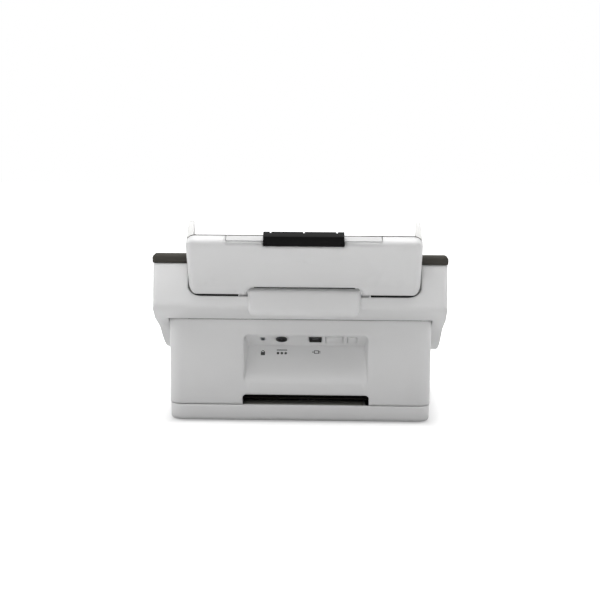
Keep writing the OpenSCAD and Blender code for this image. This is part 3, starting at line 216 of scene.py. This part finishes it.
# clear pieces: flat scanner glass, and milky status lenses with a green tint
clears = {
    "scan_glass": {"name": "floatGlass", "hex": "eaf4f1", "rough": 0.03, "through": 0.9, "ior": 1.52},
    "lens": {"name": "frostedAcrylicGreen", "hex": "a9d9b6", "rough": 0.35, "through": 0.35, "ior": 1.49},
}
haze = {"patches": 60.0, "duller": 0.06}  # faint cloud in the gloss, 60 patches to the metre


def makeClear(s):
    mat, tree = newMaterial(s["name"])
    coord = addNode(tree, "ShaderNodeTexCoord")
    cloud = addNode(tree, "ShaderNodeTexNoise", {"Scale": haze["patches"], "Detail": 3.0},
                    {"Vector": coord.outputs["Object"]})
    gloss = addNode(tree, "ShaderNodeMapRange", {"To Min": s["rough"], "To Max": s["rough"] + haze["duller"]},
                    {"Value": cloud.outputs["Fac"]})
    shader = addNode(tree, "ShaderNodeBsdfPrincipled",
                     {"Base Color": hexColor(s["hex"]), "IOR": s["ior"], "Transmission Weight": s["through"]},
                     {"Roughness": gloss.outputs["Result"]})
    addNode(tree, "ShaderNodeOutputMaterial", {}, {"Surface": shader.outputs["BSDF"]})
    return mat


materials = {k: makePlastic(s) for k, s in plastics.items()}
materials.update({k: makeMetal(s) for k, s in metals.items()})
materials.update({k: makeClear(s) for k, s in clears.items()})
for name, obj in nodes.items():
    for i in range(len(obj.material_slots)):
        obj.material_slots[i].material = materials[slotOf[name]]
print("materials:", len(materials))


def deselectAll():
    bpy.ops.object.select_all(action="DESELECT")


# edges sharper than the first angle are rounded, those under the second are shaded smooth;
# points closer than weld (mm) are merged, and faces that turn less than flat are joined
edgeRule = {"segments": 3, "sharp": 32, "smooth": 34, "weld": 0.02, "flat": 0.6}


def roundEdges(piece, width):
    mod = piece.modifiers.new("edge", "BEVEL")
    mod.width = width * mm
    mod.segments = edgeRule["segments"]
    mod.limit_method = "ANGLE"
    mod.angle_limit = math.radians(edgeRule["sharp"])
    mod.miter_outer = "MITER_ARC"
    bpy.ops.object.modifier_apply(modifier="edge")
    bpy.ops.object.shade_smooth_by_angle(angle=math.radians(edgeRule["smooth"]))


# draws a sliding piece in along its travel, so that it stops just short of the end of its slot
def leaveRoom(piece, share):
    bpy.ops.object.mode_set(mode="EDIT")
    bpy.ops.mesh.select_all(action="SELECT")
    bpy.ops.transform.resize(value=(1, 1 - share, 1))
    bpy.ops.object.mode_set(mode="OBJECT")


# raises the lowest edge of a piece, which opens the seam under it
def liftFoot(piece, height):
    foot = min(v.co.z for v in piece.data.vertices)
    for v in piece.data.vertices:
        v.select = v.co.z < foot + height * mm
    bpy.ops.object.mode_set(mode="EDIT")
    bpy.ops.mesh.select_mode(type="VERT")
    bpy.ops.transform.translate(value=(0, 0, height * mm))
    bpy.ops.object.mode_set(mode="OBJECT")


# a copy of a CAD node with its triangles joined into faces, where they allow it, and its hard edges rounded
def soften(name, s):
    deselectAll()
    piece = nodes[name].copy()
    piece.data = nodes[name].data.copy()
    bpy.context.collection.objects.link(piece)
    piece.name = s["name"]
    piece.select_set(True)
    bpy.context.view_layer.objects.active = piece
    bpy.ops.object.mode_set(mode="EDIT")
    bpy.ops.mesh.select_all(action="SELECT")
    bpy.ops.mesh.remove_doubles(threshold=edgeRule["weld"] * mm)
    if s.get("joinFaces", True):
        bpy.ops.mesh.dissolve_limited(angle_limit=math.radians(edgeRule["flat"]))
    bpy.ops.object.mode_set(mode="OBJECT")
    roundEdges(piece, s["edge"])
    if "room" in s:
        leaveRoom(piece, s["room"])
    if "lift" in s:
        liftFoot(piece, s["lift"])
    if "finish" in s:
        for slot in piece.material_slots:
            slot.material = materials[s["finish"]]
    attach(piece, bodyOf[name])
    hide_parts(name)


# rounding of the moulded edges in mm, a finish other than the slot's own, how far the foot is lifted in mm,
# and the share by which a sliding piece is drawn in
softEdges = {
    "base_pan": {"name": "basePan", "edge": 0.25},
    "lower_housing": {"name": "lowerHousing", "edge": 0.3, "joinFaces": False, "lift": 0.5},
    "upper_housing": {"name": "upperHousing", "edge": 0.3},
    "cap_left": {"name": "leftCap", "edge": 0.6, "joinFaces": False},
    "cap_right": {"name": "rightCap", "edge": 0.25, "joinFaces": False},
    "tray_shell": {"name": "trayShell", "edge": 0.9, "finish": "light_tray"},
    "tray_plate": {"name": "trayPlate", "edge": 0.4},
    "extension_plate": {"name": "extensionPlate", "edge": 0.5},
    "extension_grip": {"name": "extensionGrip", "edge": 0.7},
    "guide_left": {"name": "leftGuide", "edge": 0.25},
    "guide_right": {"name": "rightGuide", "edge": 0.25},
    "hatch_shell": {"name": "hatchShell", "edge": 0.8},
    "control_panel": {"name": "controlPanel", "edge": 0.5},
    "power_button": {"name": "powerKey", "edge": 0.6},
    "scan_button": {"name": "scanKey", "edge": 0.6},
    "copy_button": {"name": "copyKey", "edge": 0.6},
    "stop_button": {"name": "stopKey", "edge": 0.6},
    "release_latch": {"name": "releaseLatch", "edge": 0.3, "joinFaces": False, "room": 0.03},
    "output_tray": {"name": "outputTray", "edge": 0.5},
    "output_extension": {"name": "outputExtension", "edge": 0.5},
    "paper_stop": {"name": "paperStop", "edge": 0.4},
    "port_blanks": {"name": "portBlanks", "edge": 0.4},
    "power_jack": {"name": "powerJack", "edge": 0.2},
    "data_port": {"name": "dataPort", "edge": 0.15},
    "rubber_feet": {"name": "rubberFeet", "edge": 0.6},
}
for name, s in softEdges.items():
    soften(name, s)
print("softened:", len(softEdges))


# what shows behind the openings, from corner to corner in mm: the ledge inside the rear slot
# and dark strips under the tray's lower edge, painted shade that makes the gap there read dark
inserts = {
    "slotLedge": {"low": (-68.5, 60.5, 17.3), "high": (62.0, 82.1, 18.9), "material": "slot_grey"},
    # painted shade: black strips that stand for the shadow in the gap under the tray's lower edge
    "leftFoamStrip": {"low": (64.5, 97.0, 134.0), "high": (117.0, 99.0, 142.0), "material": "rubber_black"},
    "leftFoamFoot": {"low": (64.5, 98.5, 134.0), "high": (117.0, 101.7, 138.0), "material": "rubber_black"},
    "rightFoamStrip": {"low": (-127.0, 97.0, 134.0), "high": (-74.5, 99.0, 142.0), "material": "rubber_black"},
    "rightFoamFoot": {"low": (-127.0, 98.5, 134.0), "high": (-74.5, 101.7, 138.0), "material": "rubber_black"},
}
insertEdge = 0.2  # rounding of their edges in mm


def makeInsert(name, s):
    deselectAll()
    low, high = Vector(s["low"]) * mm, Vector(s["high"]) * mm
    bpy.ops.mesh.primitive_cube_add(size=1, location=(low + high) / 2)
    piece = bpy.context.object
    piece.name = name
    piece.scale = high - low
    bpy.ops.object.transform_apply(location=True, rotation=True, scale=True)
    roundEdges(piece, insertEdge)
    piece.data.materials.append(materials[s["material"]])
    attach(piece, "chassis")


# dark rod on top of the hinge boss: painted shade for the dark gap line under the tray's cut-out
bossShadeRod = {"name": "bossGapShade", "middle": (-5.0, 102.2, 149.15), "length": 106.0, "radius": 0.9,
        "sides": 24, "edge": 0.3}


def makeBossShade(s):
    deselectAll()
    bpy.ops.mesh.primitive_cylinder_add(vertices=s["sides"], radius=s["radius"] * mm, depth=s["length"] * mm,
                                        location=Vector(s["middle"]) * mm, rotation=(0, math.pi / 2, 0))
    piece = bpy.context.object
    piece.name = s["name"]
    bpy.ops.object.transform_apply(location=True, rotation=True, scale=True)
    roundEdges(piece, s["edge"])
    piece.data.materials.append(materials["rubber_black"])
    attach(piece, "chassis")


for name, s in inserts.items():
    makeInsert(name, s)
makeBossShade(bossShadeRod)
print("inserts:", len(inserts) + 1)


# printed marks are thin pads: bars, dots, arcs, frames and wedges in the plane of the face they sit on
markLook = {"thick": 0.05, "dotSides": 28, "arcSteps": 24, "material": "printInk", "slot": "dark_trim"}


def placePad(kind, s, thick):
    deselectAll()
    x, y = (v * mm for v in s.get("at", (0, 0)))
    turn = (0, 0, math.radians(s.get("turn", 0)))
    if kind == "bar":
        bpy.ops.mesh.primitive_cube_add(size=1, location=(x, y, thick / 2), rotation=turn)
        pad = bpy.context.object
        pad.scale = (s["size"][0] * mm, s["size"][1] * mm, thick)
    elif kind == "dot" or kind == "wedge":
        sides = markLook["dotSides"] if kind == "dot" else 3
        bpy.ops.mesh.primitive_cylinder_add(vertices=sides, radius=s["r"] * mm, depth=thick,
                                            location=(x, y, thick / 2), rotation=turn)
        pad = bpy.context.object
    elif kind == "frame":
        bpy.ops.mesh.primitive_plane_add(size=1)
        pad = bpy.context.object
        pad.scale = (s["size"][0] * mm, s["size"][1] * mm, 1)
        bpy.ops.object.transform_apply(location=False, rotation=False, scale=True)
        bpy.ops.object.mode_set(mode="EDIT")
        bpy.ops.mesh.select_all(action="SELECT")
        bpy.ops.mesh.inset(thickness=s["w"] * mm)
        bpy.ops.mesh.delete(type="FACE")
        bpy.ops.mesh.select_all(action="SELECT")
        bpy.ops.mesh.extrude_region_move(TRANSFORM_OT_translate={"value": (0, 0, thick)})
        bpy.ops.mesh.select_all(action="SELECT")
        bpy.ops.mesh.normals_make_consistent(inside=False)
        bpy.ops.object.mode_set(mode="OBJECT")
        pad.location = (x, y, 0)
    else:
        bpy.ops.mesh.primitive_plane_add(size=1, location=(s["r"] * mm, 0, thick / 2),
                                         rotation=(math.pi / 2, 0, 0))
        pad = bpy.context.object
        pad.scale = (s["w"] * mm, thick, 1)
        bpy.ops.object.transform_apply(location=True, rotation=True, scale=True)
        bpy.ops.object.mode_set(mode="EDIT")
        bpy.ops.mesh.select_all(action="SELECT")
        bpy.ops.mesh.spin(steps=markLook["arcSteps"], angle=math.radians(s["sweep"]),
                          center=(0, 0, 0), axis=(0, 0, 1))
        bpy.ops.mesh.select_all(action="SELECT")
        bpy.ops.mesh.normals_make_consistent(inside=False)
        bpy.ops.object.mode_set(mode="OBJECT")
        pad.rotation_euler = turn
        pad.location = (x, y, 0)
    bpy.ops.object.transform_apply(location=True, rotation=True, scale=True)
    return pad


def makeMark(name, shapes, matrix, body):
    pads = [placePad(kind, s, markLook["thick"] * mm) for kind, s in shapes]
    deselectAll()
    for p in pads:
        p.select_set(True)
    bpy.context.view_layer.objects.active = pads[0]
    if len(pads) > 1:
        bpy.ops.object.join()
    mark = bpy.context.object
    mark.name = name
    mark.matrix_world = matrix
    bpy.ops.object.transform_apply(location=True, rotation=True, scale=True)
    mark.data.materials.clear()
    mark.data.materials.append(materials[markLook["material"]])
    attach(mark, body)


# frame of a face: a point on it, the direction to the reader's right, and the way out of the face
def faceFrame(point, right, out):
    z = Vector(out).normalized()
    x = Vector(right).normalized()
    y = z.cross(x)
    m = Matrix((x, y, z)).transposed().to_4x4()
    m.translation = Vector(point) * mm
    return m


# marks printed under the connectors on the sloping panel of the scoop: place across, and down the slope, in mm
scoopMarks = {
    "lockMark": {"x": 40.5, "down": 8.6, "shapes": [
        ("bar", {"at": (0, -1.4), "size": (4.6, 3.8)}),
        ("arc", {"at": (0, 0.5), "r": 1.55, "w": 0.8, "sweep": 180, "turn": 180})]},
    "supplyMark": {"x": 19.9, "down": 7.6, "shapes": [
        ("bar", {"at": (0, 2.0), "size": (11.2, 1.0)}),
        ("dot", {"at": (-4.2, -1.7), "r": 1.45}),
        ("dot", {"at": (0, -1.7), "r": 1.45}),
        ("dot", {"at": (4.2, -1.7), "r": 1.45})]},
    "plugMark": {"x": -17.0, "down": 7.6, "shapes": [
        ("frame", {"at": (0.6, 0), "size": (5.0, 3.8), "w": 0.7}),
        ("bar", {"at": (-2.9, 0), "size": (2.4, 0.8)}),
        ("bar", {"at": (4.0, 0.9), "size": (1.9, 0.7)}),
        ("bar", {"at": (4.0, -0.9), "size": (1.9, 0.7)})]},
}
scoopPanel = {"top": (61.0, 80.0), "low": (85.0, 45.5)}  # y and z of the panel's upper and lower edge
slope = (Vector(scoopPanel["low"]) - Vector(scoopPanel["top"])).normalized()
for name, s in scoopMarks.items():
    spot = (s["x"], scoopPanel["top"][0] + s["down"] * slope.x, scoopPanel["top"][1] + s["down"] * slope.y)
    makeMark(name, s["shapes"], faceFrame(spot, (-1, 0, 0), (0, -slope.y, slope.x)), "chassis")

# marks on the keys: power, scan, copy and stop
keyMarks = {
    "power_button": {"name": "powerMark", "shapes": [
        ("arc", {"r": 2.0, "w": 0.55, "sweep": 290, "turn": 55}),
        ("bar", {"at": (0, 1.5), "size": (0.55, 2.4)})]},
    "scan_button": {"name": "scanMark", "shapes": [
        ("bar", {"at": (0, 1.2), "size": (0.7, 2.2)}),
        ("wedge", {"at": (0, -0.5), "r": 1.3, "turn": 180}),
        ("bar", {"at": (0, -2.1), "size": (3.8, 0.55)})]},
    "copy_button": {"name": "copyMark", "shapes": [
        ("frame", {"at": (-0.7, -0.6), "size": (2.6, 3.4), "w": 0.45}),
        ("frame", {"at": (0.7, 0.6), "size": (2.6, 3.4), "w": 0.45})]},
    "stop_button": {"name": "stopMark", "shapes": [
        ("bar", {"size": (4.4, 0.6), "turn": 45}),
        ("bar", {"size": (4.4, 0.6), "turn": -45})]},
}
keyOut = Vector((0, -0.213, 1)).normalized()  # the way out of the sloping key panel
rimDepth = 0.05  # points this close to the outermost one, in mm, belong to the outer face


# middle of the face that a node turns outwards
def outerFace(node, out):
    points = [v.co for v in nodes[node].data.vertices]
    reach = max(p.dot(out) for p in points)
    rim = [p for p in points if p.dot(out) > reach - rimDepth * mm]
    return sum(rim, Vector()) / len(rim) / mm


for node, s in keyMarks.items():
    spot = outerFace(node, keyOut)
    makeMark(s["name"], s["shapes"], faceFrame(spot, (1, 0, 0), keyOut), bodyOf[node])
print("marks:", len(scoopMarks) + len(keyMarks))


# floor that is white to the camera away from the footprint and takes the contact shadow beside it, with its
# paper painted greyer near the footprint as painted shade round the foot, which also dims the light it bounces
# up: paper and glow near and far, half the footprint's size, and the distances over which glow and paper
# change, in metres
stageLook = {"size": 8.0, "nearShadeHex": "bcbcbc", "farHex": "f0f0f0", "near": 0.45, "far": 1.0,
             "print": (0.139, 0.085, 0.0), "lift": (0.0, 0.04), "fade": (0.08, 0.36)}


def makeFloor(s):
    deselectAll()
    bpy.ops.mesh.primitive_plane_add(size=s["size"])
    floor = bpy.context.object
    floor.name = "studioFloor"
    mat, tree = newMaterial("studioPaper")
    coord = addNode(tree, "ShaderNodeTexCoord")
    side = addNode(tree, "ShaderNodeVectorMath", {"operation": "ABSOLUTE"}, {0: coord.outputs["Object"]})
    past = addNode(tree, "ShaderNodeVectorMath", {"operation": "SUBTRACT", 1: s["print"]}, {0: side.outputs[0]})
    clear = addNode(tree, "ShaderNodeVectorMath", {"operation": "MAXIMUM"}, {0: past.outputs[0]})
    reach = addNode(tree, "ShaderNodeVectorMath", {"operation": "LENGTH"}, {0: clear.outputs[0]})
    level = addNode(tree, "ShaderNodeMapRange", {"From Min": s["lift"][0], "From Max": s["lift"][1],
                                                 "To Min": s["near"], "To Max": s["far"]},
                    {"Value": reach.outputs["Value"]})
    # painted shade: the paper is greyer near the footprint and turns white over the fade distance
    blend = addNode(tree, "ShaderNodeMapRange", {"From Min": s["fade"][0], "From Max": s["fade"][1]},
                    {"Value": reach.outputs["Value"]})
    paper = addNode(tree, "ShaderNodeMix",
                    {"data_type": "RGBA", 6: hexColor(s["nearShadeHex"]), 7: hexColor(s["farHex"])},
                    {"Factor": blend.outputs["Result"]})
    diffuse = addNode(tree, "ShaderNodeBsdfDiffuse", {}, {"Color": paper.outputs[2]})
    lift = addNode(tree, "ShaderNodeMath", {"operation": "MULTIPLY"},
                   {0: seenRays(tree), 1: level.outputs["Result"]})
    glow = addNode(tree, "ShaderNodeEmission", {}, {"Strength": lift.outputs[0]})
    both = addNode(tree, "ShaderNodeAddShader", {}, {0: diffuse.outputs[0], 1: glow.outputs[0]})
    addNode(tree, "ShaderNodeOutputMaterial", {}, {"Surface": both.outputs[0]})
    floor.data.materials.append(mat)


makeFloor(stageLook)

# soft boxes: place and aim in metres, size in metres, power in watts, spread in degrees where it is narrow
lamps = {
    "overheadBox": {"place": (0.0, 0.0, 1.6), "aim": (0.0, 0.05, 0.1), "size": 1.5, "power": 22},
    "rearBox": {"place": (0.8, 0.9, 1.3), "aim": (0.0, 0.05, 0.1), "size": 1.0, "power": 6},
    "rearWall": {"place": (0.0, 2.2, 1.0), "aim": (0.0, 0.0, 0.1), "size": 2.4, "power": 6},
    "floorBounce": {"place": (0.0, 1.0, 1.3), "aim": (0.0, 0.95, 0.0), "size": 0.9, "power": 2.6, "spread": 60},
    "leftFill": {"place": (1.6, 0.2, 0.8), "aim": (0.0, 0.0, 0.1), "size": 1.0, "power": 6.5},
    "rightFill": {"place": (-1.6, 0.2, 0.8), "aim": (0.0, 0.0, 0.1), "size": 1.0, "power": 7.5},
    "frontFill": {"place": (0.3, -1.7, 1.0), "aim": (0.0, 0.0, 0.1), "size": 1.4, "power": 5},
}


def makeLamp(name, s):
    bpy.ops.object.light_add(type="AREA", location=s["place"])
    lamp = bpy.context.object
    lamp.name = name
    lamp.data.shape = "SQUARE"
    lamp.data.size = s["size"]
    lamp.data.energy = s["power"]
    lamp.data.spread = math.radians(s.get("spread", 180))
    lamp.rotation_euler = (Vector(s["aim"]) - Vector(s["place"])).to_track_quat("-Z", "Y").to_euler()


for name, s in lamps.items():
    makeLamp(name, s)

# room light: white where the room itself is seen past the floor, a soft grey for what it adds to the surfaces
roomLight = {"seen": 1.0, "fill": 0.05}


def makeRoom(s):
    world = bpy.data.worlds.new("studioRoom")
    bpy.context.scene.world = world
    world.use_nodes = True
    tree = world.node_tree
    tree.nodes.clear()
    level = addNode(tree, "ShaderNodeMapRange", {"To Min": s["fill"], "To Max": s["seen"]},
                    {"Value": seenRays(tree)})
    sky = addNode(tree, "ShaderNodeBackground", {"Color": (1, 1, 1, 1)}, {"Strength": level.outputs["Result"]})
    addNode(tree, "ShaderNodeOutputWorld", {}, {"Surface": sky.outputs[0]})


makeRoom(roomLight)
bpy.context.scene.view_settings.view_transform = "Standard"
print("stage and light set")
